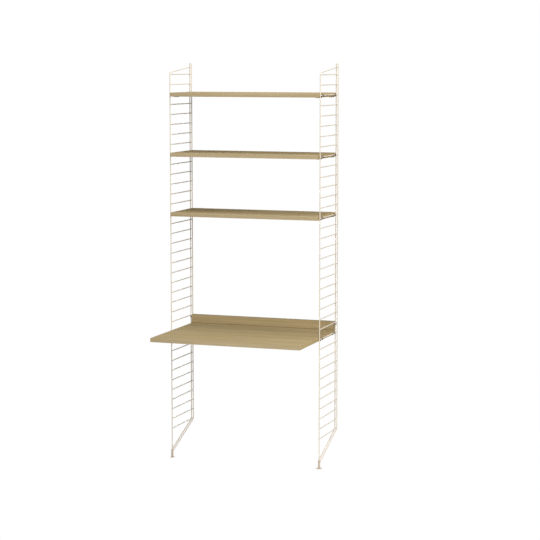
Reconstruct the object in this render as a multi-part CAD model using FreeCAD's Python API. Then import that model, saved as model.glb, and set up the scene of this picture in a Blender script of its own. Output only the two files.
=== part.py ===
import FreeCAD, Part
import math
import os

# Shelving unit with a desk: two welded wire ladders that a wall keeps upright, three shelves and a desk
# whose wire hooks hang over the rungs, and a levelling foot under each ladder.
# Driving dimensions are in millimetres. Heights are above the floor; depths are behind the front wires.

# Ladders
ladder_spacing = 790.0       # between the planes of the two ladders
ladder_depth = 278.0         # front wire to the rear pair of wires
wire_d = 5.0
rung_d = 5.0
rung_pitch = 50.0
rung_count = 37
lowest_rung_z = 150.0
rung_tail = 2.0              # rung past the middle of the rear pair
front_bend_rise = 9.0        # the front wire turns back this far above the top rung
front_end_rise = 37.0        # and reaches the rear pair this far above it
loop_rise = 53.5             # top of the hairpin's centreline above the top rung
knee_drop = 2.0              # the rear pair turns forward this far below the lowest rung
brace_end_z = 34.0           # where the rear pair reaches the front wire
bend_r = 9.0                 # wire bends, on the centreline

# Levelling feet
plate_d = 28.0
plate_t = 2.5
plate_edge_r = 0.8
socket_top_z = 42.0
socket_gap = 0.5             # socket above the plate with the foot screwed right in
socket_wall = 1.2
socket_cap = 6.0             # solid top of the socket, which takes the front wire
stem_d = 8.0
stem_clear = 0.3             # between the stem and the socket's bore
stem_top_gap = 1.5           # stem below the end of the bore
spigot_d = 5.0               # lower end of the stem, through the plate
spigot_clear = 0.08
rivet_d = 8.0
rivet_h = 0.7
rivet_clear = 0.25           # rivet in its recess under the plate
wire_seat_clear = 0.1        # front wire in the cap

# Boards
board_t = 20.0
veneer_t = 0.6
band_t = 1.5
edge_r = 0.8
shelf_overhang = 18.5        # front edge of a shelf before the front wires
desk_overhang = 290.0        # front edge of the desk before the front wires
rear_gap = 0.5               # rear edge to the rear wires
end_gap = 0.2                # board end to the hook's leg
board_rungs = {"top_shelf": 3, "middle_shelf": 9, "lower_shelf": 15, "desk": 27}   # from the top rung

# Hooks
hook_d = 3.5
hook_clear = 0.3             # between a hook and the rung that it hangs on
hook_tip_drop = 6.0          # tip below the rung's axis
hook_front_inset = 34.5      # front hooks behind the front wires
hook_rear_inset = 38.0       # rear hooks before the rear pair
hook_bend_r = 3.0
shank_length = 30.0          # board end to the turned-up peg
shank_sink = 1.0             # shank let into the underside
peg_height = 9.0             # peg into the board
groove_clear = 0.1

# Saddles over the hook shanks, and their screws
saddle_t = 1.0
saddle_length = 12.0
saddle_span = 27.0
saddle_clear = 0.1
saddle_inset = 15.0          # middle of the saddle from the board end
saddle_screw_margin = 4.5    # screw from the end of the saddle
screw_d = 2.6
screw_length = 13.0
screw_point_length = 5.0
screw_point_d = 0.5
screw_head_d = 5.6
screw_head_h = 1.8
screw_dome_r = 1.1
screw_slot_length = 3.0
screw_slot_w = 0.8
screw_slot_depth = 0.9
screw_clear = 0.1

# Upstand along the rear of the desk
upstand_h = 45.0
upstand_t = 18.0
fixing_count = 5
fixing_d = 4.0
fixing_head_d = 8.0
fixing_reach = 25.0          # screw into the upstand
fixing_end_margin = 60.0
pin_d = 4.0
pin_clear = 3.5              # below the rung above the desk
pin_depth = 20.0             # pin into the upstand
pin_reach = 6.0              # pin past the ladder's plane

# Places worked out from the driving dimensions
wire_r = wire_d / 2
rung_r = rung_d / 2
hook_r = hook_d / 2
pin_r = pin_d / 2
ladder_x = ladder_spacing / 2
pair_half = (wire_d + rung_d) / 2
top_rung_z = lowest_rung_z + (rung_count - 1) * rung_pitch
rear_face_y = ladder_depth + wire_r
board_rear_y = ladder_depth - wire_r - rear_gap
hook_arch_r = rung_r + hook_clear + hook_r
hook_leg_x = ladder_x - hook_arch_r
board_end_x = hook_leg_x - hook_r - end_gap
hook_depths = (hook_front_inset, ladder_depth - hook_rear_inset)
socket_r = stem_d / 2 + stem_clear + socket_wall
socket_low_z = plate_t + socket_gap
socket_bore_top = socket_top_z - socket_cap
overall_front_y = -max(desk_overhang, shelf_overhang)
middle_y = (overall_front_y + rear_face_y) / 2

X = FreeCAD.Vector(1, 0, 0)
Y = FreeCAD.Vector(0, 1, 0)
Z = FreeCAD.Vector(0, 0, 1)


def point(x, y, z):
    return FreeCAD.Vector(x, y, z)


def block(x0, x1, y0, y1, z0, z1):
    return Part.makeBox(x1 - x0, y1 - y0, z1 - z0, point(x0, y0, z0))


def rod(start, direction, diameter, length):
    return Part.makeCylinder(diameter / 2, length, start, direction)


def disc_face(centre, normal, diameter):
    circle = Part.makeCircle(diameter / 2, centre, normal)
    return Part.Face(Part.Wire(circle))


def fuse(pieces):
    return pieces[0].multiFuse(pieces[1:]).removeSplitter()


def turn_about(centre, axis, degrees, start, direction, diameter):
    """A bend of round wire: the section at start, turned about an axis through centre."""
    return disc_face(start, direction, diameter).revolve(centre, axis, degrees)


def bent_rod(points, radius, diameter):
    """Round wire along straight runs, with a bend of one radius at each point between them."""
    pieces = []
    start = points[0]
    for corner, after in zip(points[1:-1], points[2:]):
        into = (corner - start).normalize()
        out = (after - corner).normalize()
        turn = into.getAngle(out)
        setback = radius * math.tan(turn / 2)
        bend_start = corner - into * setback
        pieces.append(rod(start, into, diameter, (bend_start - start).Length))
        axis = into.cross(out).normalize()
        centre = bend_start + axis.cross(into) * radius
        pieces.append(turn_about(centre, axis, math.degrees(turn), bend_start, into, diameter))
        start = corner + out * setback
    last = points[-1] - start
    pieces.append(rod(start, last, diameter, last.Length))
    return fuse(pieces)


def rounded(solid, radius, wanted):
    """The solid with the edges rounded whose midpoint passes the test."""
    edges = [edge for edge in solid.Edges if wanted(edge.CenterOfMass)]
    return solid.makeFillet(radius, edges)


def mirrored(shape):
    """The same piece at the other end of the unit."""
    return shape.mirror(point(0, 0, 0), X)


# Ladders, built at the right-hand end
def foot_socket():
    """Turned sleeve: blind bore for the foot's screw below, a seat for the front wire in its cap."""
    body = rod(point(ladder_x, 0, socket_low_z), Z, 2 * socket_r, socket_top_z - socket_low_z)
    body = rounded(body, socket_wall / 2, lambda c: c.z > socket_top_z - socket_wall / 2)
    bore_d = stem_d + 2 * stem_clear
    bore = rod(point(ladder_x, 0, socket_low_z), Z, bore_d, socket_bore_top - socket_low_z)
    seat = rod(point(ladder_x, 0, socket_bore_top), Z, wire_d + 2 * wire_seat_clear, socket_cap)
    return body.cut(bore).cut(seat)


def front_wire():
    """Upright from the foot socket, then back over the top rung to between the two rear legs."""
    low = point(ladder_x, 0, socket_bore_top)
    bend = point(ladder_x, 0, top_rung_z + front_bend_rise)
    back = point(ladder_x, ladder_depth, top_rung_z + front_end_rise)
    end = back + (back - bend).normalize() * rung_tail
    return bent_rod([low, bend, end], bend_r, wire_d)


def rear_hairpin():
    """One wire: up one leg, over a tight loop, down the other, both feet slanting forward as braces."""
    x = ladder_x - pair_half
    loop_z = top_rung_z + loop_rise - pair_half
    foot = point(x, 0, brace_end_z)
    knee = point(x, ladder_depth, lowest_rung_z - knee_drop)
    head = point(x, ladder_depth, loop_z)
    leg = bent_rod([foot, knee, head], bend_r, wire_d)
    other_leg = leg.translated(X * (2 * pair_half))
    loop = turn_about(point(ladder_x, ladder_depth, loop_z), Y, 180, head, Z, wire_d)
    hairpin = fuse([leg, loop, other_leg])
    sleeve = rod(point(ladder_x, 0, socket_low_z), Z, 2 * socket_r, socket_top_z - socket_low_z)
    return hairpin.cut(sleeve)


def rungs():
    """Straight wires, coped onto the front wire and welded between the two rear legs."""
    length = ladder_depth + rung_tail
    rung = rod(point(ladder_x, 0, lowest_rung_z), Y, rung_d, length)
    upright = rod(point(ladder_x, 0, lowest_rung_z - rung_d), Z, wire_d, 2 * rung_d)
    front_half = block(ladder_x - rung_d, ladder_x + rung_d, -rung_d, 0,
                       lowest_rung_z - rung_d, lowest_rung_z + rung_d)
    rung = rung.cut(upright).cut(front_half)
    return [rung.translated(Z * (rung_pitch * step)) for step in range(rung_count)]


# Levelling feet
def foot_plate():
    """Round plate on the floor, with a hole for the stem and a recess below for its riveted end."""
    plate = rod(point(ladder_x, 0, 0), Z, plate_d, plate_t)
    plate = rounded(plate, plate_edge_r, lambda c: c.z > plate_t - plate_edge_r / 2)
    recess_h = rivet_h + 2 * rivet_clear
    recess = rod(point(ladder_x, 0, 0), Z, rivet_d + 2 * rivet_clear, recess_h)
    hole = rod(point(ladder_x, 0, 0), Z, spigot_d + 2 * spigot_clear, plate_t)
    return plate.cut(recess).cut(hole)


def foot_stem():
    """Screw of the foot: stem in the socket, a spigot through the plate and its riveted end."""
    shoulder_z = plate_t + spigot_clear
    top_z = socket_bore_top - stem_top_gap
    stem = rod(point(ladder_x, 0, shoulder_z), Z, stem_d, top_z - shoulder_z)
    spigot = rod(point(ladder_x, 0, rivet_clear), Z, spigot_d, shoulder_z - rivet_clear)
    rivet = rod(point(ladder_x, 0, rivet_clear), Z, rivet_d, rivet_h)
    return fuse([stem, spigot, rivet])


# Hooks and what holds them, built at the right-hand end of a board hung at height rung_z
def hook(y, rung_z, diameter):
    """Wire hook: a short leg outside the rung, an arch over it, a leg down the board's end, a shank
    along the underside and a peg turned up into the board."""
    low_z = rung_z - board_t / 2
    shank_z = low_z + shank_sink - hook_r
    peg_x = board_end_x - shank_length
    outer = point(ladder_x + hook_arch_r, y, rung_z)
    inner = point(hook_leg_x, y, rung_z)
    tip_leg = rod(outer - Z * hook_tip_drop, Z, diameter, hook_tip_drop)
    arch = turn_about(point(ladder_x, y, rung_z), Y, -180, outer, Z, diameter)
    lower = bent_rod([inner, point(hook_leg_x, y, shank_z), point(peg_x, y, shank_z),
                      point(peg_x, y, low_z + peg_height)], hook_bend_r, diameter)
    return fuse([tip_leg, arch, lower])


def saddle(y, rung_z):
    """Pressed strap over the shank, with a flat wing and a screw hole at each side."""
    low_z = rung_z - board_t / 2
    shank_z = low_z + shank_sink - hook_r
    middle_x = board_end_x - saddle_inset
    x0 = middle_x - saddle_length / 2
    x1 = middle_x + saddle_length / 2
    bore_r = hook_r + saddle_clear
    wings = block(x0, x1, y - saddle_span / 2, y + saddle_span / 2, low_z - saddle_t, low_z)
    bridge = rod(point(x0, y, shank_z), X, 2 * (bore_r + saddle_t), saddle_length)
    above = block(x0, x1, y - saddle_span, y + saddle_span, low_z, low_z + saddle_span)
    strap = fuse([wings, bridge]).cut(above)
    strap = strap.cut(rod(point(x0, y, shank_z), X, 2 * bore_r, saddle_length))
    for place in saddle_screw_places(y):
        hole_low = place + Z * (low_z - saddle_t)
        strap = strap.cut(rod(hole_low, Z, screw_d + 2 * screw_clear, saddle_t))
    return strap


def saddle_screw_places(y):
    middle_x = board_end_x - saddle_inset
    offset = saddle_span / 2 - saddle_screw_margin
    return [point(middle_x, y - offset, 0), point(middle_x, y + offset, 0)]


def saddle_screw(place, rung_z):
    """Domed wood screw, driven up through a wing of the saddle."""
    seat = place + Z * (rung_z - board_t / 2 - saddle_t)
    low = seat - Z * screw_head_h
    plain_length = screw_length - screw_point_length
    shank = rod(seat, Z, screw_d, plain_length)
    tip = Part.makeCone(screw_d / 2, screw_point_d / 2, screw_point_length, seat + Z * plain_length, Z)
    head = rod(low, Z, screw_head_d, screw_head_h)
    head = rounded(head, screw_dome_r, lambda c: c.z < low.z + screw_dome_r / 2)
    screw = fuse([head, shank, tip])
    half_long = screw_slot_length / 2
    half_wide = screw_slot_w / 2
    for wide, deep in ((half_long, half_wide), (half_wide, half_long)):
        slot = block(low.x - wide, low.x + wide, low.y - deep, low.y + deep, low.z, low.z + screw_slot_depth)
        screw = screw.cut(slot)
    return screw


def screw_hole(place, rung_z):
    low_z = rung_z - board_t / 2
    return rod(place + Z * low_z, Z, screw_d + 2 * screw_clear, screw_length + screw_clear)


# Boards: a veneered core with edge bands, and the hooks that hang it
def hanging_rung_z(board):
    """Height of the rung that a board hangs on; the top rung is number one."""
    return top_rung_z - (board_rungs[board] - 1) * rung_pitch


def banded_board(front_y, rear_y, low_z, high_z):
    """The core, face veneers and edge bands of a flat board between the ladders."""
    core_x = board_end_x - band_t
    core_front = front_y + band_t
    core_rear = rear_y - band_t
    pieces = {}
    pieces["core"] = block(-core_x, core_x, core_front, core_rear, low_z + veneer_t, high_z - veneer_t)
    pieces["top_veneer"] = block(-core_x, core_x, core_front, core_rear, high_z - veneer_t, high_z)
    pieces["bottom_veneer"] = block(-core_x, core_x, core_front, core_rear, low_z, low_z + veneer_t)
    front = block(-board_end_x, board_end_x, front_y, core_front, low_z, high_z)
    pieces["front_band"] = rounded(front, edge_r, lambda c: c.y < core_front - edge_r / 2)
    rear = block(-board_end_x, board_end_x, core_rear, rear_y, low_z, high_z)
    pieces["rear_band"] = rounded(rear, edge_r, lambda c: c.y > core_rear + edge_r / 2)
    end = block(core_x, board_end_x, core_front, core_rear, low_z, high_z)
    middle_z = (low_z + high_z) / 2
    long_edges = board_t / 2 - edge_r / 2
    end = rounded(end, edge_r, lambda c: c.x > core_x + band_t / 2 and abs(c.z - middle_z) > long_edges)
    pieces["end_bands"] = [mirrored(end), end]
    return pieces


def hung_board(front_y, rung_z):
    """A board with its four hooks, their saddles and screws, and the grooves and holes that they need."""
    pieces = banded_board(front_y, board_rear_y, rung_z - board_t / 2, rung_z + board_t / 2)
    hooks = []
    saddles = []
    screws = []
    tools = []
    for y in hook_depths:
        hooks.append(hook(y, rung_z, hook_d))
        saddles.append(saddle(y, rung_z))
        tools.append(hook(y, rung_z, hook_d + 2 * groove_clear))
        for place in saddle_screw_places(y):
            screws.append(saddle_screw(place, rung_z))
            tools.append(screw_hole(place, rung_z))
    tools += [mirrored(tool) for tool in tools]
    for name in ("core", "bottom_veneer"):
        pieces[name] = pieces[name].cut(tools)
    pieces["end_bands"] = [band.cut(tools) for band in pieces["end_bands"]]
    pieces["hooks"] = [mirrored(piece) for piece in hooks] + hooks
    pieces["hook_saddles"] = [mirrored(piece) for piece in saddles] + saddles
    pieces["saddle_screws"] = [mirrored(piece) for piece in screws] + screws
    return pieces


# Desk: a deep hung board with an upstand, whose end pins lie under the next rung up
def fixing_screw(x, y, low_z, clearance):
    """Countersunk screw from under the desk into the upstand."""
    top_z = low_z + board_t + fixing_reach
    head_h = (fixing_head_d - fixing_d) / 2
    shank = rod(point(x, y, low_z), Z, fixing_d + 2 * clearance, top_z - low_z + clearance)
    head = Part.makeCone(fixing_head_d / 2 + clearance, fixing_d / 2 + clearance, head_h, point(x, y, low_z), Z)
    return fuse([shank, head])


def upstand_pin(y, rung_above_z, diameter):
    pin_z = rung_above_z - rung_r - pin_clear - pin_r
    start = point(board_end_x - pin_depth, y, pin_z)
    return rod(start, X, diameter, ladder_x + pin_reach - start.x)


def desk():
    rung_z = hanging_rung_z("desk")
    low_z = rung_z - board_t / 2
    high_z = rung_z + board_t / 2
    pieces = hung_board(-desk_overhang, rung_z)

    crest_z = high_z + upstand_h
    front_y = board_rear_y - upstand_t
    middle = board_rear_y - upstand_t / 2
    core_x = board_end_x - band_t
    core_top = crest_z - band_t
    core = block(-core_x, core_x, front_y + veneer_t, board_rear_y - veneer_t, high_z, core_top)
    front_veneer = block(-core_x, core_x, front_y, front_y + veneer_t, high_z, core_top)
    rear_veneer = block(-core_x, core_x, board_rear_y - veneer_t, board_rear_y, high_z, core_top)
    crest = block(-board_end_x, board_end_x, front_y, board_rear_y, core_top, crest_z)
    crest = rounded(crest, edge_r, lambda c: c.z > core_top + edge_r / 2)
    end = block(core_x, board_end_x, front_y, board_rear_y, high_z, core_top)
    half_t = upstand_t / 2 - edge_r / 2
    end = rounded(end, edge_r, lambda c: c.x > core_x + band_t / 2 and abs(c.y - middle) > half_t)

    pin = upstand_pin(middle, rung_z + rung_pitch, pin_d)
    pin_hole = upstand_pin(middle, rung_z + rung_pitch, pin_d + 2 * groove_clear)
    span = 2 * (board_end_x - fixing_end_margin)
    places = [span * step / (fixing_count - 1) - span / 2 for step in range(fixing_count)]
    fixings = [fixing_screw(x, middle, low_z, 0) for x in places]
    fixing_holes = [fixing_screw(x, middle, low_z, screw_clear) for x in places]
    for name in ("core", "top_veneer", "bottom_veneer"):
        pieces[name] = pieces[name].cut(fixing_holes)
    end = end.cut(pin_hole)

    pieces["upstand_core"] = core.cut(fixing_holes + [pin_hole, mirrored(pin_hole)])
    pieces["upstand_front_veneer"] = front_veneer
    pieces["upstand_rear_veneer"] = rear_veneer
    pieces["upstand_bands"] = [crest, mirrored(end), end]
    pieces["upstand_fixings"] = fixings
    pieces["upstand_pins"] = [mirrored(pin), pin]
    return pieces


# All pieces by node name
def all_nodes():
    nodes = {}
    right = {
        "front_wire": front_wire(),
        "rear_hairpin": rear_hairpin(),
        "rungs": rungs(),
        "foot_socket": foot_socket(),
        "foot_plate": foot_plate(),
        "foot_stem": foot_stem(),
    }
    for name, piece in right.items():
        group = piece if isinstance(piece, list) else [piece]
        nodes["right_" + name] = group
        nodes["left_" + name] = [mirrored(solid) for solid in group]
    boards = {name: hung_board(-shelf_overhang, hanging_rung_z(name))
              for name in board_rungs if name != "desk"}
    boards["desk"] = desk()
    for board, pieces in boards.items():
        for name, piece in pieces.items():
            nodes[board + "_" + name] = piece if isinstance(piece, list) else [piece]
    return nodes


def export_all():
    """Write each node with the origin on the floor at the middle of the unit's outline."""
    os.makedirs("parts", exist_ok=True)
    for name, solids in all_nodes().items():
        placed = [solid.translated(Y * -middle_y) for solid in solids]
        shape = placed[0] if len(placed) == 1 else Part.makeCompound(placed)
        shape.exportStep("parts/" + name + ".step")


export_all()
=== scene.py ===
import math

import bmesh
import bpy
from mathutils import Matrix, Vector


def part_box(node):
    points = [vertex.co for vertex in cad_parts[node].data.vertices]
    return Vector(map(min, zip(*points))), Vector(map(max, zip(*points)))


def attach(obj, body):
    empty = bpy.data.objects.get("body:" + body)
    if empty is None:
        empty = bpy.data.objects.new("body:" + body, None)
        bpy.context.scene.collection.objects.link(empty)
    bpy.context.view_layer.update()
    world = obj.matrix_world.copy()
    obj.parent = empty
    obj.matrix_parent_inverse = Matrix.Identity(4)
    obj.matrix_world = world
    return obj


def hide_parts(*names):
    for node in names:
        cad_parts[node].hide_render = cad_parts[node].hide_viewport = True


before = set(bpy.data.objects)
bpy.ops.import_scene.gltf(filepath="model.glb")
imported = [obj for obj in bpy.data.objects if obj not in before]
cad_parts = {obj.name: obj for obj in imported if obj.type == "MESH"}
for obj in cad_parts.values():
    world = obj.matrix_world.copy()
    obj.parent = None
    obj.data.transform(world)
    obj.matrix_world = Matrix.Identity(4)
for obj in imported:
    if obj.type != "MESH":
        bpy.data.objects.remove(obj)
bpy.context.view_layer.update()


# Front and rear wires of the ladders: 5 mm steel rod, cold bent, welded and powder-coated a warm
# off-white. The front wire stands in the foot and turns back over the top rung. The rear wire is one
# hairpin: its legs stand side by side, loop over at the top for a wall screw and slant to brace the foot.
def srgb(red, green, blue):
    """A colour as it looks on screen, in the shader's linear numbers."""
    linear = [((c / 255 + 0.055) / 1.055) ** 2.4 for c in (red, green, blue)]
    return (*linear, 1.0)


def add(tree, kind, inputs=None, **settings):
    """A node with its settings, and with inputs that are plain values or other nodes' outputs."""
    node = tree.nodes.new(kind)
    for name, value in settings.items():
        setattr(node, name, value)
    for name, value in (inputs or {}).items():
        if isinstance(value, bpy.types.NodeSocket):
            tree.links.new(value, node.inputs[name])
        else:
            node.inputs[name].default_value = value
    return node


def new_finish(name):
    """A material, its tree, its shader and the Object coordinates that its pattern reads."""
    material = bpy.data.materials.new(name)
    material.use_nodes = True
    tree = material.node_tree
    shader = tree.nodes["Principled BSDF"]
    return material, tree, shader, add(tree, "ShaderNodeTexCoord").outputs["Object"]


def noise(tree, place, scale, detail, roughness=0.5, distortion=0.0):
    """A cloudy texture from 0 to 1."""
    node = add(tree, "ShaderNodeTexNoise", {
        "Vector": place, "Scale": scale, "Detail": detail, "Roughness": roughness, "Distortion": distortion})
    return node.outputs["Fac"]


def ramp(tree, factor, *stops):
    """A colour ramp through (place, colour) stops."""
    node = add(tree, "ShaderNodeValToRGB", {"Fac": factor})
    elements = node.color_ramp.elements
    while len(elements) < len(stops):
        elements.new(0.5)
    for element, (place, colour) in zip(elements, stops):
        element.position = place
        element.color = colour
    return node.outputs["Color"]


def spread(tree, value, low, high, start=0.0, end=1.0):
    """A value that goes from start to end, brought to the range low to high."""
    node = add(tree, "ShaderNodeMapRange", {
        "Value": value, "From Min": start, "From Max": end, "To Min": low, "To Max": high})
    return node.outputs["Result"]


def bump(tree, shader, height, strength, depth):
    node = add(tree, "ShaderNodeBump", {"Height": height, "Strength": strength, "Distance": depth})
    tree.links.new(node.outputs["Normal"], shader.inputs["Normal"])


def powder_coat(name, thin, full):
    """A coat sprayed dry and baked: a fine orange peel, a slight drift in tone and duller places."""
    drift_scale = 22.0
    peel_scale = 900.0
    dullness = (0.38, 0.52)
    peel_strength = 0.12
    peel_depth = 0.00005
    material, tree, shader, place = new_finish(name)
    drift = noise(tree, place, drift_scale, detail=4.0)
    peel = noise(tree, place, peel_scale, detail=1.0)
    tree.links.new(ramp(tree, drift, (0.3, thin), (0.7, full)), shader.inputs["Base Color"])
    tree.links.new(spread(tree, peel, *dullness), shader.inputs["Roughness"])
    bump(tree, shader, peel, peel_strength, peel_depth)
    return material


ladder_paint = powder_coat("ladder_paint", srgb(215, 203, 183), srgb(224, 212, 193))

crease_angle = math.radians(38)
bend_steps = 10
cap_gap = 0.00001


def new_tree(name, **inputs):
    """A Geometry Nodes tree with named inputs, and the node that gives them."""
    tree = bpy.data.node_groups.new(name, "GeometryNodeTree")
    tree.interface.new_socket("Geometry", in_out="OUTPUT", socket_type="NodeSocketGeometry")
    for label, kind in inputs.items():
        tree.interface.new_socket(label, in_out="INPUT", socket_type="NodeSocket" + kind)
    return tree, add(tree, "NodeGroupInput").outputs


def end_tree(tree, geometry, finish):
    """Close a tree: plain mesh, creased at its sharp edges, in its finish."""
    whole = add(tree, "GeometryNodeRealizeInstances", {"Geometry": geometry})
    smooth = add(tree, "GeometryNodeSetShadeSmooth", {"Geometry": whole.outputs[0], "Shade Smooth": True})
    angle = add(tree, "GeometryNodeInputMeshEdgeAngle").outputs["Unsigned Angle"]
    sharp = add(tree, "FunctionNodeCompare", {0: angle, 1: crease_angle}, operation="GREATER_THAN")
    creased = add(tree, "GeometryNodeSetShadeSmooth", domain="EDGE", inputs={
        "Geometry": smooth.outputs[0], "Selection": sharp.outputs[0], "Shade Smooth": False})
    dressed = add(tree, "GeometryNodeSetMaterial", {"Geometry": creased.outputs[0], "Material": finish})
    add(tree, "NodeGroupOutput", {0: dressed.outputs[0]})
    return tree


def plain_piece(name, mesh, body, slot, *replaced):
    """A finished mesh as a piece of the part, on its body, in the place of CAD nodes."""
    piece = bpy.data.objects.new(name, mesh)
    bpy.context.scene.collection.objects.link(piece)
    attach(piece, body)
    if replaced:
        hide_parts(*replaced)
    return piece


def grown_mesh(tree, source, values):
    """The plain mesh that a tree makes from a source mesh with these named inputs."""
    host = bpy.data.objects.new("source", source)
    bpy.context.scene.collection.objects.link(host)
    modifier = host.modifiers.new("tree", "NODES")
    modifier.node_group = tree
    for socket in tree.interface.items_tree:
        if socket.name in values:
            modifier[socket.identifier] = values[socket.name]
    graph = bpy.context.evaluated_depsgraph_get()
    mesh = bpy.data.meshes.new_from_object(host.evaluated_get(graph), depsgraph=graph)
    bpy.data.objects.remove(host)
    return mesh


def bent_wire_tree():
    """Round wire along runs of edges, bent at each point to the radius in its 'bend' attribute."""
    tree, given = new_tree("bent_wire", Runs="Geometry", Radius="Float", Sides="Int", Finish="Material")
    bend = add(tree, "GeometryNodeInputNamedAttribute", {"Name": "bend"}, data_type="FLOAT")
    runs = add(tree, "GeometryNodeMeshToCurve", {"Mesh": given["Runs"]})
    bent = add(tree, "GeometryNodeFilletCurve", mode="POLY", inputs={
        "Curve": runs.outputs[0], "Count": bend_steps, "Radius": bend.outputs[0], "Limit Radius": True})
    section = add(tree, "GeometryNodeCurvePrimitiveCircle", {
        "Resolution": given["Sides"], "Radius": given["Radius"]})
    wire = add(tree, "GeometryNodeCurveToMesh", {
        "Curve": bent.outputs[0], "Profile Curve": section.outputs[0], "Fill Caps": True})
    closed = add(tree, "GeometryNodeMergeByDistance", {"Geometry": wire.outputs[0], "Distance": cap_gap})
    return end_tree(tree, closed.outputs[0], given["Finish"])


bent_wire = bent_wire_tree()


def wire_runs(*wires):
    """A mesh of edges, one chain for each wire, from its (point, bend radius) pairs."""
    points, edges, bends = [], [], []
    for wire in wires:
        first = len(points)
        points += [point for point, _ in wire]
        bends += [radius for _, radius in wire]
        edges += [(i, i + 1) for i in range(first, len(points) - 1)]
    mesh = bpy.data.meshes.new("runs")
    mesh.from_pydata(points, edges, [])
    mesh.attributes.new("bend", "FLOAT", "POINT").data.foreach_set("value", bends)
    return mesh


wire_r = 0.0025
rung_r = 0.0025
wire_bend_r = 0.009
rung_tail = 0.002
knee_drop = 0.002
brace_end_z = 0.034
front_bend_rise = 0.009
front_end_rise = 0.037
ladder_sides = 20

rung_low, rung_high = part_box("right_rungs")
ladder_x = (rung_low.x + rung_high.x) / 2
ladders = (("left", -ladder_x), ("right", ladder_x))
lowest_rung_z = rung_low.z + rung_r
top_rung_z = rung_high.z - rung_r
front_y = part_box("right_front_wire")[0].y + wire_r
rear_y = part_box("right_rear_hairpin")[1].y - wire_r
loop_top_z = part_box("right_rear_hairpin")[1].z - wire_r
seat_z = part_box("right_front_wire")[0].z
knee_z = lowest_rung_z - knee_drop
pair_half = wire_r + rung_r

for side, x in ladders:
    crook = Vector((x, front_y, top_rung_z + front_bend_rise))
    crossing = Vector((x, rear_y, top_rung_z + front_end_rise))
    front_end = crossing + (crossing - crook).normalized() * rung_tail
    front = wire_runs([((x, front_y, seat_z), 0), (crook, wire_bend_r), (front_end, 0)])
    mesh = grown_mesh(bent_wire, front, {"Radius": wire_r, "Sides": ladder_sides, "Finish": ladder_paint})
    plain_piece(side + "_front_upright", mesh, "ladders_and_desk", "ladder_paint", side + "_front_wire")

    inner, outer = x - pair_half, x + pair_half
    rear = wire_runs([
        ((inner, front_y, brace_end_z), 0), ((inner, rear_y, knee_z), wire_bend_r),
        ((inner, rear_y, loop_top_z), pair_half), ((outer, rear_y, loop_top_z), pair_half),
        ((outer, rear_y, knee_z), wire_bend_r), ((outer, front_y, brace_end_z), 0)])
    mesh = grown_mesh(bent_wire, rear, {"Radius": wire_r, "Sides": ladder_sides, "Finish": ladder_paint})
    plain_piece(side + "_rear_pair", mesh, "ladders_and_desk", "ladder_paint", side + "_rear_hairpin")


# Rungs: straight lengths of the same wire, butted on the front wire and passed between the two rear
# legs. Each is resistance-welded, and the coat rounds the three small beads that the welds squeeze out.
rung_pitch = 0.05
rung_count = round((top_rung_z - lowest_rung_z) / rung_pitch) + 1
bead_r = 0.0028
front_squash = (1.0, 0.6, 1.15)
rear_squash = (0.45, 0.8, 0.8)


def calculated(tree, operation, *values):
    """The result of a sum on plain values or other nodes' outputs."""
    return add(tree, "ShaderNodeMath", dict(enumerate(values)), operation=operation).outputs[0]


def rung_tree():
    """A column of welded rungs from the first one's place on the front wire."""
    tree, given = new_tree("welded_rungs", Column="Geometry", First="Vector", Count="Int", Pitch="Float",
                           Length="Float", Radius="Float", Reach="Float", Bead="Float", Finish="Material")
    far = add(tree, "ShaderNodeCombineXYZ", {"Y": given["Length"]})
    line = add(tree, "GeometryNodeCurvePrimitiveLine", {"End": far.outputs[0]})
    section = add(tree, "GeometryNodeCurvePrimitiveCircle", {
        "Resolution": ladder_sides, "Radius": given["Radius"]})
    rung = add(tree, "GeometryNodeCurveToMesh", {
        "Curve": line.outputs[0], "Profile Curve": section.outputs[0], "Fill Caps": True})
    bead = add(tree, "GeometryNodeMeshIcoSphere", {"Radius": given["Bead"], "Subdivisions": 2})
    join = add(tree, "GeometryNodeJoinGeometry", {0: rung.outputs[0]})
    inward = calculated(tree, "MULTIPLY", given["Radius"], -1.0)
    front = add(tree, "ShaderNodeCombineXYZ", {"Y": given["Radius"]})
    rear_in = add(tree, "ShaderNodeCombineXYZ", {"X": inward, "Y": given["Reach"]})
    rear_out = add(tree, "ShaderNodeCombineXYZ", {"X": given["Radius"], "Y": given["Reach"]})
    for place, squash in ((front, front_squash), (rear_in, rear_squash), (rear_out, rear_squash)):
        nugget = add(tree, "GeometryNodeTransform", {
            "Geometry": bead.outputs["Mesh"], "Translation": place.outputs[0], "Scale": squash})
        tree.links.new(nugget.outputs[0], join.inputs[0])
    step = add(tree, "ShaderNodeCombineXYZ", {"Z": given["Pitch"]})
    column = add(tree, "GeometryNodeMeshLine", {
        "Count": given["Count"], "Start Location": given["First"], "Offset": step.outputs[0]})
    rungs = add(tree, "GeometryNodeInstanceOnPoints", {
        "Points": column.outputs[0], "Instance": join.outputs[0]})
    return end_tree(tree, rungs.outputs[0], given["Finish"])


welded_rungs = rung_tree()
for side, x in ladders:
    mesh = grown_mesh(welded_rungs, bpy.data.meshes.new("column"), {
        "First": (x, front_y, lowest_rung_z), "Count": rung_count, "Pitch": rung_pitch,
        "Length": rear_y + rung_tail - front_y, "Radius": rung_r, "Reach": rear_y - front_y,
        "Bead": bead_r, "Finish": ladder_paint})
    plain_piece(side + "_welded_rungs", mesh, "ladders_and_desk", "ladder_paint", side + "_rungs")


# Foot sockets: turned steel sleeves, welded under the front wires, in a slightly darker coat than the
# wires. The brace wires end against their sides, and the foot's screw goes up into the bore.
foot_paint = powder_coat("foot_paint", srgb(186, 170, 150), srgb(197, 181, 161))


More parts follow.
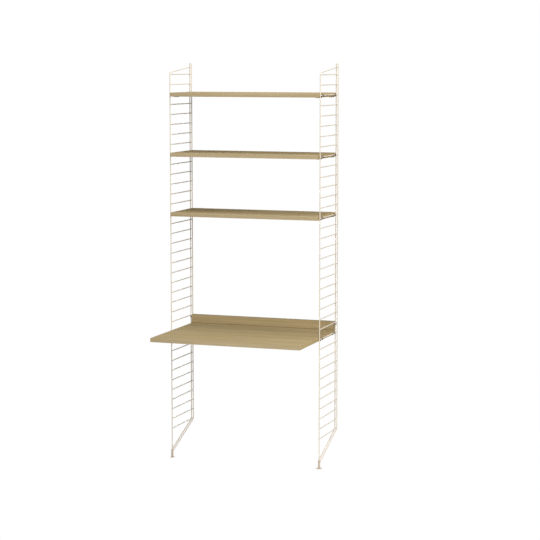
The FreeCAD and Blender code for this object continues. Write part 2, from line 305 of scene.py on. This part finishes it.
def turned_mesh(name, profile, steps=40):
    """A turned shape about an upright axis, from (radius, height) pairs that close on themselves
    or end on the axis."""
    mesh = bpy.data.meshes.new(name)
    shape = bmesh.new()
    rings = []
    for radius, height in profile:
        turns = [2 * math.pi * step / steps for step in range(steps if radius > 0 else 1)]
        rings.append([shape.verts.new((radius * math.cos(a), radius * math.sin(a), height)) for a in turns])
    pairs = list(zip(rings, rings[1:]))
    if profile[0][0] > 0 and profile[-1][0] > 0:
        pairs.append((rings[-1], rings[0]))
    for lower, upper in pairs:
        for step in range(steps):
            after = (step + 1) % steps
            corners = [lower[step % len(lower)], lower[after % len(lower)],
                       upper[after % len(upper)], upper[step % len(upper)]]
            shape.faces.new(list(dict.fromkeys(corners)))
    bmesh.ops.recalc_face_normals(shape, faces=shape.faces)
    shape.to_mesh(mesh)
    shape.free()
    return mesh


def dressed(mesh, finish, place=(0, 0, 0)):
    """The mesh moved to its place, smooth up to its creases, in its finish."""
    mesh.transform(Matrix.Translation(place))
    mesh.shade_smooth()
    mesh.set_sharp_from_angle(angle=crease_angle)
    mesh.materials.append(finish)
    return mesh


def quarter(radius, height, size, start, steps=4):
    """A rounded corner of a turned profile, from the wall to the top or the top to the wall."""
    turns = [start + math.pi / 2 * step / steps for step in range(steps + 1)]
    return [(radius + size * math.cos(a), height + size * math.sin(a)) for a in turns]


socket_low, socket_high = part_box("right_foot_socket")
socket_r = (socket_high.x - socket_low.x) / 2
socket_bore_r = 0.0043
socket_round = 0.0006
socket_chamfer = 0.0003
weld_leg = 0.0012
weld_hollow = weld_leg / 3

sleeve = [(socket_r - socket_chamfer, socket_low.z), (socket_r, socket_low.z + socket_chamfer)]
sleeve += quarter(socket_r - socket_round, socket_high.z - socket_round, socket_round, 0)
sleeve += [(wire_r + weld_leg, socket_high.z), (wire_r + weld_hollow, socket_high.z + weld_hollow),
           (wire_r, socket_high.z + weld_leg), (wire_r, seat_z), (socket_bore_r, seat_z),
           (socket_bore_r, socket_low.z)]
for side, x in ladders:
    mesh = dressed(turned_mesh("sleeve", sleeve), foot_paint, (x, front_y, 0))
    plain_piece(side + "_foot_sleeve", mesh, "ladders_and_desk", "foot_paint", side + "_foot_socket")


# Plates of the levelling feet: round steel pressings that stand on the floor, coated like the sockets.
# Each has a hole for the foot's screw, and a recess underneath for the rivet.
plate_low, plate_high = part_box("right_foot_plate")
plate_r = (plate_high.x - plate_low.x) / 2
plate_round = 0.0008
plate_chamfer = 0.0003
plate_steps = 64
spigot_hole_r = 0.00258
rivet_recess_r = 0.00425
rivet_recess_h = 0.0012

disc = [(spigot_hole_r, rivet_recess_h), (rivet_recess_r, rivet_recess_h), (rivet_recess_r, 0),
        (plate_r - plate_chamfer, 0), (plate_r, plate_chamfer)]
disc += quarter(plate_r - plate_round, plate_high.z - plate_round, plate_round, 0)
disc += [(spigot_hole_r, plate_high.z)]
for side, x in ladders:
    mesh = dressed(turned_mesh("disc", disc, plate_steps), foot_paint, (x, front_y, 0))
    plain_piece(side + "_foot_disc", mesh, side + "_foot_plate", "foot_paint", side + "_foot_plate")


# Screws of the levelling feet: M8 studs of zinc-plated steel with a rolled right-hand thread. The lower
# end is turned down, passed through the plate and riveted, so that the screw turns in it.
def plated_steel(name, dark, light, roughness, top_highlight=None):
    """Plated steel: fine drawn marks, faint blotches and a soft shine, and a painted highlight that lightens
    upward-facing faces if a highlight colour is given.
    """
    blotch_scale = 260.0
    mark_scale = 2600.0
    highlight_slope = (0.15, 0.75)
    polish = 0.08
    scuff = 0.1
    mark_strength = 0.15
    mark_depth = 0.00005
    material, tree, shader, place = new_finish(name)
    blotch = noise(tree, place, blotch_scale, detail=5.0)
    marks = noise(tree, place, mark_scale, detail=2.0)
    colour = ramp(tree, blotch, (0.3, dark), (0.7, light))
    # Painted highlight: faces that look up are mixed toward a light colour, as if lit from above.
    if top_highlight:
        facing = add(tree, "ShaderNodeTexCoord").outputs["Normal"]
        upward = add(tree, "ShaderNodeSeparateXYZ", {"Vector": facing}).outputs["Z"]
        highlight_mask = spread(tree, upward, 0.0, 1.0, *highlight_slope)
        highlighted = add(tree, "ShaderNodeMix", {6: colour, 7: top_highlight, "Factor": highlight_mask}, data_type="RGBA")
        colour = highlighted.outputs[2]
    tree.links.new(colour, shader.inputs["Base Color"])
    tree.links.new(spread(tree, marks, roughness - polish, roughness + scuff), shader.inputs["Roughness"])
    shader.inputs["Metallic"].default_value = 1.0
    bump(tree, shader, marks, mark_strength, mark_depth)
    return material


screw_steel = plated_steel("screw_steel", srgb(158, 160, 160), srgb(198, 198, 194), roughness=0.34)

thread_r = 0.004
thread_pitch = 0.00125
thread_depth = 0.0006
thread_flank = 0.8
thread_rows = 8
thread_steps = 32
rivet_r = 0.004
rivet_h = 0.0007
rivet_chamfer = 0.0003
spigot_r = 0.0025


def threaded_stem(low, high):
    """The foot's screw: rivet and spigot at the bottom, then a right-hand thread up to a chamfered end."""
    rows = [(low.z, rivet_r - rivet_chamfer, 0), (low.z + rivet_chamfer, rivet_r, 0),
            (low.z + rivet_h, rivet_r, 0), (low.z + rivet_h, spigot_r, 0), (plate_high.z, spigot_r, 0),
            (plate_high.z, thread_r - thread_depth, 0)]
    count = round((high.z - plate_high.z) / thread_pitch * thread_rows)
    for row in range(1, count):
        height = plate_high.z + (high.z - plate_high.z) * row / count
        rows.append((height, thread_r, thread_depth if row > 1 else 0))
    rows.append((high.z, thread_r - thread_depth, 0))
    mesh = bpy.data.meshes.new("stem")
    shape = bmesh.new()
    rings = []
    for height, radius, depth in rows:
        ring = []
        for step in range(thread_steps):
            turn = step / thread_steps
            phase = (height / thread_pitch - turn) % 1
            r = radius - depth * (1 - abs(2 * phase - 1)) ** thread_flank
            angle = 2 * math.pi * turn
            ring.append(shape.verts.new((r * math.cos(angle), r * math.sin(angle), height)))
        rings.append(ring)
    for lower, upper in zip(rings, rings[1:]):
        for step in range(thread_steps):
            after = (step + 1) % thread_steps
            shape.faces.new((lower[step], lower[after], upper[after], upper[step]))
    shape.faces.new(rings[-1])
    shape.faces.new(reversed(rings[0]))
    bmesh.ops.recalc_face_normals(shape, faces=shape.faces)
    shape.to_mesh(mesh)
    shape.free()
    return mesh


for side, x in ladders:
    mesh = dressed(threaded_stem(*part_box(side + "_foot_stem")), screw_steel, (x, front_y, 0))
    plain_piece(side + "_foot_screw_stem", mesh, side + "_foot_screw", "screw_steel", side + "_foot_stem")


# Boards of the shelves and the desk: particle board, pressed between sliced oak veneers. The leaves lie
# side by side along the length, and matt lacquer leaves the pores open.
def toned(tree, colour, tone):
    """A colour times a tone, by the mix node's two colour sockets."""
    node = add(tree, "ShaderNodeMix", data_type="RGBA", blend_type="MULTIPLY", inputs={
        6: colour, 7: tone, "Factor": 1.0})
    return node.outputs[2]


def oak(name, pale, mid, brown, turn=0.0, foot_shade=None):
    """Lacquered oak whose grain runs along X, or along Y with a quarter turn. A painted shade, given as the
    heights where it is darkest and where it clears and its tone, darkens the foot of an upright face."""
    leaf_width = 0.17
    leaf_shift = 7.31
    leaf_tones = (0.97, 1.03)
    streak_density = (1.1, 46.0, 46.0)
    fibre_density = (9.0, 520.0, 520.0)
    pore_density = (90.0, 2300.0, 2300.0)
    fibre_tones = (0.84, 1.16)
    pore_edge = (0.62, 0.72)
    pore_tone = 0.72
    dullness = (0.64, 0.82)
    lacquer_gloss = 0.02
    relief_strength = 0.2
    relief_depth = 0.0001
    material, tree, shader, place = new_finish(name)
    turned = add(tree, "ShaderNodeMapping", {"Vector": place, "Rotation": (0, 0, turn)}).outputs[0]
    axes = add(tree, "ShaderNodeSeparateXYZ", {"Vector": turned}).outputs
    along, across, height = axes["X"], axes["Y"], axes["Z"]

    leaf = calculated(tree, "FLOOR", calculated(tree, "DIVIDE", across, leaf_width))
    leaf_chance = add(tree, "ShaderNodeTexWhiteNoise", {"W": leaf}, noise_dimensions="1D").outputs["Value"]
    shifted = calculated(tree, "MULTIPLY_ADD", leaf, leaf_shift, along)
    grain = add(tree, "ShaderNodeCombineXYZ", {"X": shifted, "Y": across, "Z": height}).outputs[0]

    def along_grain(density):
        return add(tree, "ShaderNodeVectorMath", {0: grain, 1: density}, operation="MULTIPLY").outputs[0]

    streaks = noise(tree, along_grain(streak_density), 1.0, detail=5.0, roughness=0.6, distortion=0.35)
    fibres = noise(tree, along_grain(fibre_density), 1.0, detail=3.0, roughness=0.55)
    pores = noise(tree, along_grain(pore_density), 1.0, detail=1.0)
    open_pore = spread(tree, pores, 0.0, 1.0, *pore_edge)

    colour = ramp(tree, streaks, (0.28, brown), (0.5, mid), (0.72, pale))
    colour = toned(tree, colour, spread(tree, fibres, *fibre_tones))
    colour = toned(tree, colour, spread(tree, leaf_chance, *leaf_tones))
    colour = toned(tree, colour, spread(tree, open_pore, 1.0, pore_tone))
    # Painted shade: darker towards the foot of the face, where it meets the board below.
    if foot_shade:
        dark_z, clear_z, painted_tone = foot_shade
        colour = toned(tree, colour, spread(tree, height, painted_tone, 1.0, dark_z, clear_z))
    tree.links.new(colour, shader.inputs["Base Color"])
    tree.links.new(spread(tree, fibres, *dullness), shader.inputs["Roughness"])
    shader.inputs["Specular IOR Level"].default_value = lacquer_gloss
    bump(tree, shader, calculated(tree, "SUBTRACT", fibres, open_pore), relief_strength, relief_depth)
    return material


oak_veneer = oak("oak_veneer", srgb(191, 173, 133), srgb(180, 161, 121), srgb(164, 145, 104))

boards = {"top_shelf": "top_shelf", "middle_shelf": "middle_shelf", "lower_shelf": "lower_shelf",
          "desk": "ladders_and_desk"}


def dress_node(name, finish):
    """A CAD node in a finish."""
    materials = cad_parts[name].data.materials
    materials.clear()
    materials.append(finish)


for board in boards:
    for face in ("top_veneer", "bottom_veneer"):
        dress_node(board + "_" + face, oak_veneer)


# Cores of the boards: particle board of pressed softwood chips, sawn to size, grooved and bored before
# the hooks go in. They are only seen in the bores and grooves.
def chip_core(name):
    chip_scale = 420.0
    dust_scale = 1800.0
    dullness = (0.8, 0.98)
    chip_strength = 0.5
    chip_depth = 0.0004
    brown, tan, straw = srgb(150, 116, 76), srgb(184, 150, 104), srgb(205, 176, 130)
    material, tree, shader, place = new_finish(name)
    chips = add(tree, "ShaderNodeTexVoronoi", {"Vector": place, "Scale": chip_scale, "Randomness": 1.0})
    dust = noise(tree, place, dust_scale, detail=3.0)
    chip = add(tree, "ShaderNodeSeparateColor", {"Color": chips.outputs["Color"]}).outputs["Red"]
    colour = ramp(tree, chip, (0.0, brown), (0.5, tan), (1.0, straw))
    tree.links.new(colour, shader.inputs["Base Color"])
    tree.links.new(spread(tree, dust, *dullness), shader.inputs["Roughness"])
    bump(tree, shader, chips.outputs["Distance"], chip_strength, chip_depth)
    return material


board_core = chip_core("board_core")
for board in boards:
    dress_node(board + "_core", board_core)
dress_node("desk_upstand_core", board_core)


# Edge bands: strips of solid oak, 1.5 mm thick, glued on all four edges and rounded over. Their grain
# follows the edge, so that the end bands run across the board.
oak_band = oak("oak_band", srgb(194, 176, 140), srgb(185, 166, 130), srgb(171, 151, 114))
oak_end_band = oak("oak_end_band", srgb(194, 174, 131), srgb(186, 165, 120), srgb(172, 149, 106),
                   turn=math.pi / 2)
for board in boards:
    dress_node(board + "_front_band", oak_band)
    dress_node(board + "_rear_band", oak_band)
    dress_node(board + "_end_bands", oak_end_band)


# Hooks: 3.5 mm steel wire, plated dark, with a painted highlight that lightens their upward-facing tops.
# Each goes over a rung, down the board's end, along a shallow groove under it and up into a blind hole; two
# stand at each end of a board.
hook_steel = plated_steel("hook_steel", srgb(18, 16, 15), srgb(32, 29, 27), roughness=0.42,
                          top_highlight=srgb(150, 142, 132))

hook_r = 0.00175
hook_bend_r = 0.003
hook_tip_drop = 0.006
shank_length = 0.03
peg_height = 0.009
hook_sides = 16


def hook_run(y, rung_z, under_z, shank_z, arch_r, end_x, sign):
    """The bent run of one hook, from its tip outside the rung to its peg in the board."""
    outer, inner = sign * (ladder_x + arch_r), sign * (ladder_x - arch_r)
    peg_x = sign * (end_x - shank_length)
    return [((outer, y, rung_z - hook_tip_drop), 0), ((outer, y, rung_z + arch_r), arch_r),
            ((inner, y, rung_z + arch_r), arch_r), ((inner, y, shank_z), hook_bend_r),
            ((peg_x, y, shank_z), hook_bend_r), ((peg_x, y, under_z + peg_height), 0)]


for board, body in boards.items():
    low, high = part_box(board + "_hooks")
    board_low, board_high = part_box(board + "_end_bands")
    arch_r = high.x - hook_r - ladder_x
    rung_z = high.z - hook_r - arch_r
    runs = [hook_run(y, rung_z, board_low.z, low.z + hook_r, arch_r, board_high.x, sign)
            for sign in (-1, 1) for y in (low.y + hook_r, high.y - hook_r)]
    mesh = grown_mesh(bent_wire, wire_runs(*runs), {
        "Radius": hook_r, "Sides": hook_sides, "Finish": hook_steel})
    plain_piece(board + "_bent_hooks", mesh, body, "hook_steel", board + "_hooks")


# Saddles: straps of 1 mm steel strip, pressed to an arch over each hook's shank, with a flat wing on
# each side. They are screwed to the underside, so that the hook can't drop out of its groove.
def placing_tree():
    """A piece set at each point, turned about the upright axis by its own share of the largest turn."""
    tree, given = new_tree("set_at_places", Places="Geometry", Piece="Object", Turn="Float", Seed="Int",
                           Finish="Material")
    piece = add(tree, "GeometryNodeObjectInfo", {"Object": given["Piece"]})
    turn = add(tree, "FunctionNodeRandomValue", data_type="FLOAT", inputs={
        3: given["Turn"], "Seed": given["Seed"]})
    spun = add(tree, "ShaderNodeCombineXYZ", {"Z": turn.outputs[1]})
    rotation = add(tree, "FunctionNodeEulerToRotation", {0: spun.outputs[0]})
    placed = add(tree, "GeometryNodeInstanceOnPoints", {
        "Points": given["Places"], "Instance": piece.outputs["Geometry"], "Rotation": rotation.outputs[0]})
    return end_tree(tree, placed.outputs[0], given["Finish"])


set_at_places = placing_tree()


def repeated(pattern, places, finish, turn=0.0, seed=1):
    """The plain mesh of a pattern piece set at all these places."""
    holder = bpy.data.objects.new("pattern", pattern)
    points = bpy.data.meshes.new("places")
    points.from_pydata(places, [], [])
    mesh = grown_mesh(set_at_places, points, {
        "Piece": holder, "Turn": turn, "Seed": seed, "Finish": finish})
    bpy.data.objects.remove(holder)
    return mesh


saddle_length = 0.012
saddle_span = 0.027
saddle_t = 0.001
saddle_clear = 0.0001
saddle_corner_r = 0.0025
corner_steps = 5
arch_steps = 12
same_place = 1e-6


def saddle_pattern(shank_drop):
    """One strap below the underside at height 0: an arch round the shank and two flat wings."""
    half = saddle_span / 2
    inner_r = hook_r + saddle_clear
    outer_r = inner_r + saddle_t

    def arch(radius, level):
        rise = math.asin((level + shank_drop) / radius)
        first, last = math.pi - rise, 2 * math.pi + rise
        turns = [first + (last - first) * step / arch_steps for step in range(arch_steps + 1)]
        return [(radius * math.cos(a), radius * math.sin(a) - shank_drop) for a in turns]

    outline = [(-half, 0), (-half, -saddle_t)] + arch(outer_r, -saddle_t)
    outline += [(half, -saddle_t), (half, 0)] + arch(inner_r, 0)[::-1]
    mesh = bpy.data.meshes.new("saddle")
    shape = bmesh.new()
    face = shape.faces.new([shape.verts.new((-saddle_length / 2, y, z)) for y, z in outline])
    made = bmesh.ops.extrude_face_region(shape, geom=[face])["geom"]
    moved = [v for v in made if isinstance(v, bmesh.types.BMVert)]
    bmesh.ops.translate(shape, verts=moved, vec=(saddle_length, 0, 0))
    corners = [e for e in shape.edges if all(abs(abs(v.co.y) - half) < same_place for v in e.verts)
               and abs(e.verts[0].co.z - e.verts[1].co.z) > saddle_t / 2]
    bmesh.ops.bevel(shape, geom=corners, offset=saddle_corner_r, segments=corner_steps, profile=0.5,
                    affect="EDGES")
    bmesh.ops.recalc_face_normals(shape, faces=shape.faces)
    shape.to_mesh(mesh)
    shape.free()
    return mesh


def saddle_places(board):
    """The middle of each of a board's saddles, on its underside."""
    low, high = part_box(board + "_hook_saddles")
    hook_low, hook_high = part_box(board + "_hooks")
    return [(x, y, high.z) for x in (low.x + saddle_length / 2, high.x - saddle_length / 2)
            for y in (hook_low.y + hook_r, hook_high.y - hook_r)]


for board, body in boards.items():
    underside_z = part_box(board + "_hook_saddles")[1].z
    pattern = saddle_pattern(underside_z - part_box(board + "_hooks")[0].z - hook_r)
    mesh = repeated(pattern, saddle_places(board), hook_steel)
    plain_piece(board + "_straps", mesh, body, "hook_steel", board + "_hook_saddles")


# Saddle screws: small zinc-plated wood screws with a domed head and a cross recess, one through each
# wing of a saddle. Each is left at the turn at which it came tight.
def cross_cut(mesh, length, width, depth, face_z):
    """The screw with a cross recess sunk in its head, whose face is at face_z and looks down."""
    cutter = bpy.data.meshes.new("cross")
    shape = bmesh.new()
    for x, y in ((length, width), (width, length)):
        sized = Matrix.Translation((0, 0, face_z)) @ Matrix.Diagonal((x, y, 2 * depth, 1))
        bmesh.ops.create_cube(shape, size=1.0, matrix=sized)
    shape.to_mesh(cutter)
    shape.free()
    tool = bpy.data.objects.new("cross", cutter)
    work = bpy.data.objects.new("screw", mesh)
    for each in (tool, work):
        bpy.context.scene.collection.objects.link(each)
    cut = work.modifiers.new("cut", "BOOLEAN")
    cut.object = tool
    cut.operation = "DIFFERENCE"
    cut.solver = "EXACT"
    cut.use_self = True
    graph = bpy.context.evaluated_depsgraph_get()
    done = bpy.data.meshes.new_from_object(work.evaluated_get(graph), depsgraph=graph)
    bpy.data.objects.remove(tool)
    bpy.data.objects.remove(work)
    return done


screw_margin = 0.0045
screw_head_r = 0.0028
screw_head_h = 0.0018
screw_dome_r = 0.0011
screw_shank_r = 0.0013
screw_length = 0.013
screw_point = 0.005
screw_recess = (0.003, 0.0008, 0.0009)
screw_steps = 20
screw_reach = saddle_span / 2 - screw_margin

domed = [(0, -screw_head_h)]
domed += quarter(screw_head_r - screw_dome_r, screw_dome_r - screw_head_h, screw_dome_r, -math.pi / 2)
domed += [(screw_head_r, 0), (screw_shank_r, 0), (screw_shank_r, screw_length - screw_point),
          (0, screw_length)]
screw_pattern = cross_cut(turned_mesh("screw", domed, screw_steps), *screw_recess, -screw_head_h)

for seed, (board, body) in enumerate(boards.items()):
    places = [(x, y + step, z - saddle_t) for x, y, z in saddle_places(board)
              for step in (-screw_reach, screw_reach)]
    mesh = repeated(screw_pattern, places, screw_steel, turn=math.pi, seed=seed)
    plain_piece(board + "_strap_screws", mesh, body, "screw_steel", board + "_saddle_screws")


# Upstand of the desk: a narrow board of the same make, veneered front and back and banded on its crest
# and ends, which stands on the desk's rear edge. Painted shade darkens the foot of its front face where it
# meets the desk, and its bands are painted darker to stand in for shade on the crest.
foot_shade_dark = 0.0015
foot_shade_clear = 0.0045
foot_shade_tone = 0.6
desk_top_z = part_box("desk_top_veneer")[1].z
upstand_face = oak("upstand_face", srgb(193, 175, 135), srgb(182, 163, 123), srgb(166, 147, 106),
                   foot_shade=(desk_top_z + foot_shade_dark, desk_top_z + foot_shade_clear, foot_shade_tone))
# Painted shade: the crest and end bands are a darker oak than the other bands, standing in for the shade
# that darkens the crest.
upstand_band = oak("upstand_band", srgb(168, 150, 115), srgb(159, 140, 105), srgb(145, 126, 90))
dress_node("desk_upstand_front_veneer", upstand_face)
dress_node("desk_upstand_rear_veneer", oak_veneer)
dress_node("desk_upstand_bands", upstand_band)


# Upstand screws: five countersunk screws of zinc-plated steel, driven up through the desk into the
# upstand. Their heads lie flush with the desk's underside, each at a turn of its own.
fixing_head_r = 0.004
fixing_r = 0.002
fixing_count = 5
fixing_recess = (0.0045, 0.001, 0.0012)
fixing_steps = 24
fixing_seed = 11

low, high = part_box("desk_upstand_fixings")
fixing_length = high.z - low.z
flush = [(0, 0), (fixing_head_r, 0), (fixing_r, fixing_head_r - fixing_r), (fixing_r, fixing_length),
         (0, fixing_length)]
pattern = cross_cut(turned_mesh("fixing", flush, fixing_steps), *fixing_recess, 0)
first, last = low.x + fixing_head_r, high.x - fixing_head_r
fixing_y = (low.y + high.y) / 2
places = [(first + (last - first) * step / (fixing_count - 1), fixing_y, low.z)
          for step in range(fixing_count)]
mesh = repeated(pattern, places, screw_steel, turn=math.pi, seed=fixing_seed)
plain_piece("desk_upstand_screws", mesh, "ladders_and_desk", "screw_steel", "desk_upstand_fixings")


# Upstand pins: dark steel pegs in the upstand's ends, with rounded tips, which lie under the next rung
# up and keep the desk from tipping forward.
low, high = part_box("desk_upstand_pins")
pin_r = (high.z - low.z) / 2
pin_depth = 0.02
pin_tip_r = 0.0008
pin_steps = 24
pin_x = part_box("desk_end_bands")[1].x - pin_depth
pin_length = high.x - pin_x

rounded_pin = [(0, 0), (pin_r, 0)]
rounded_pin += quarter(pin_r - pin_tip_r, pin_length - pin_tip_r, pin_tip_r, 0)
rounded_pin += [(0, pin_length)]
mesh = bpy.data.meshes.new("pins")
shape = bmesh.new()
for sign in (-1, 1):
    peg = turned_mesh("peg", rounded_pin, pin_steps)
    peg.transform(Matrix.Rotation(sign * math.pi / 2, 4, "Y"))
    peg.transform(Matrix.Translation((sign * pin_x, (low.y + high.y) / 2, (low.z + high.z) / 2)))
    shape.from_mesh(peg)
shape.to_mesh(mesh)
shape.free()
pegs = dressed(mesh, hook_steel)
plain_piece("desk_upstand_pegs", pegs, "ladders_and_desk", "hook_steel", "desk_upstand_pins")


# Studio: a pale floor, a white surround and five soft lamps: overhead, high right, high front, low front
# and rear. The camera sees the white through the floor, which keeps a faint shadow, and a levelling foot
# that is screwed out below the floor's level still shows and is lit from above.
def seen_rays(tree, rays):
    """1 for rays that come from the camera, a gloss or a glass, and 0 for those that light the object."""
    seen = calculated(tree, "MAXIMUM", rays["Is Camera Ray"], rays["Is Glossy Ray"])
    return calculated(tree, "MAXIMUM", seen, rays["Is Transmission Ray"])


half_floor = 1.7
floor_z = -0.0004
floor_grey = 0.9
floor_roughness = 0.9
floor_gloss = 0.1
floor_share = 0.97
white_gain = 1.02
room_light = 0.1

floor_mesh = bpy.data.meshes.new("floor")
corners = [(x * half_floor, y * half_floor, floor_z) for x, y in ((-1, -1), (1, -1), (1, 1), (-1, 1))]
floor_mesh.from_pydata(corners, [], [(0, 1, 2, 3)])
floor = bpy.data.objects.new("floor", floor_mesh)
bpy.context.scene.collection.objects.link(floor)

floor_finish, tree, shader, _ = new_finish("floor")
shader.inputs["Base Color"].default_value = (floor_grey, floor_grey, floor_grey, 1)
shader.inputs["Roughness"].default_value = floor_roughness
shader.inputs["Specular IOR Level"].default_value = floor_gloss
rays = add(tree, "ShaderNodeLightPath").outputs
under = add(tree, "ShaderNodeNewGeometry").outputs["Backfacing"]
lit_through = calculated(tree, "MULTIPLY", rays["Is Shadow Ray"], under)
seen_through = calculated(tree, "MULTIPLY", seen_rays(tree, rays), floor_share)
share = calculated(tree, "MAXIMUM", seen_through, lit_through)
clear = add(tree, "ShaderNodeBsdfTransparent", {"Color": (white_gain, white_gain, white_gain, 1)})
mixed = add(tree, "ShaderNodeMixShader", {0: share, 1: shader.outputs[0], 2: clear.outputs[0]})
tree.links.new(mixed.outputs[0], tree.nodes["Material Output"].inputs["Surface"])
floor.data.materials.append(floor_finish)

world = bpy.data.worlds.new("surround")
bpy.context.scene.world = world
world.use_nodes = True
tree = world.node_tree
background = tree.nodes["Background"]
seen = seen_rays(tree, add(tree, "ShaderNodeLightPath").outputs)
background.inputs["Color"].default_value = (1, 1, 1, 1)
tree.links.new(spread(tree, seen, room_light, 1.0), background.inputs["Strength"])

lamp_aim = Vector((0, 0, 1.0))


def soft_lamp(name, place, size, power):
    """A round lamp of this size, turned to the middle of the object."""
    lamp = bpy.data.lights.new(name, "AREA")
    lamp.shape = "DISK"
    lamp.size = size
    lamp.energy = power
    holder = bpy.data.objects.new(name, lamp)
    holder.location = place
    holder.rotation_euler = (lamp_aim - Vector(place)).to_track_quat("-Z", "Y").to_euler()
    bpy.context.scene.collection.objects.link(holder)


soft_lamp("overhead", (0.5, -0.5, 5.0), 3.0, 82.0)
soft_lamp("high_right", (5.1, -0.9, 4.0), 2.5, 158.0)
soft_lamp("high_front", (1.8, -4.9, 4.0), 2.5, 163.0)
soft_lamp("low_front", (2.0, -5.55, 2.05), 2.5, 82.0)
soft_lamp("rear", (-2.5, 5.0, 0.4), 1.2, 90.0)


# Camera: a long lens as high as the unit's top, to the right of its front, which looks slightly down.
# Its place, lens and turn were fitted to the rungs and wires of the photographed ladders.
camera_place = (3.0239, -8.20065, 2.01286)
camera_tilt = 6.731
camera_heading = 19.391

view = bpy.data.cameras.new("view")
view.lens = 117.63
view.sensor_width = 36.0
camera = bpy.data.objects.new("view", view)
camera.location = camera_place
camera.rotation_euler = (math.radians(90 - camera_tilt), 0, math.radians(camera_heading))
bpy.context.scene.collection.objects.link(camera)
bpy.context.scene.camera = camera
bpy.context.scene.view_settings.view_transform = "Standard"
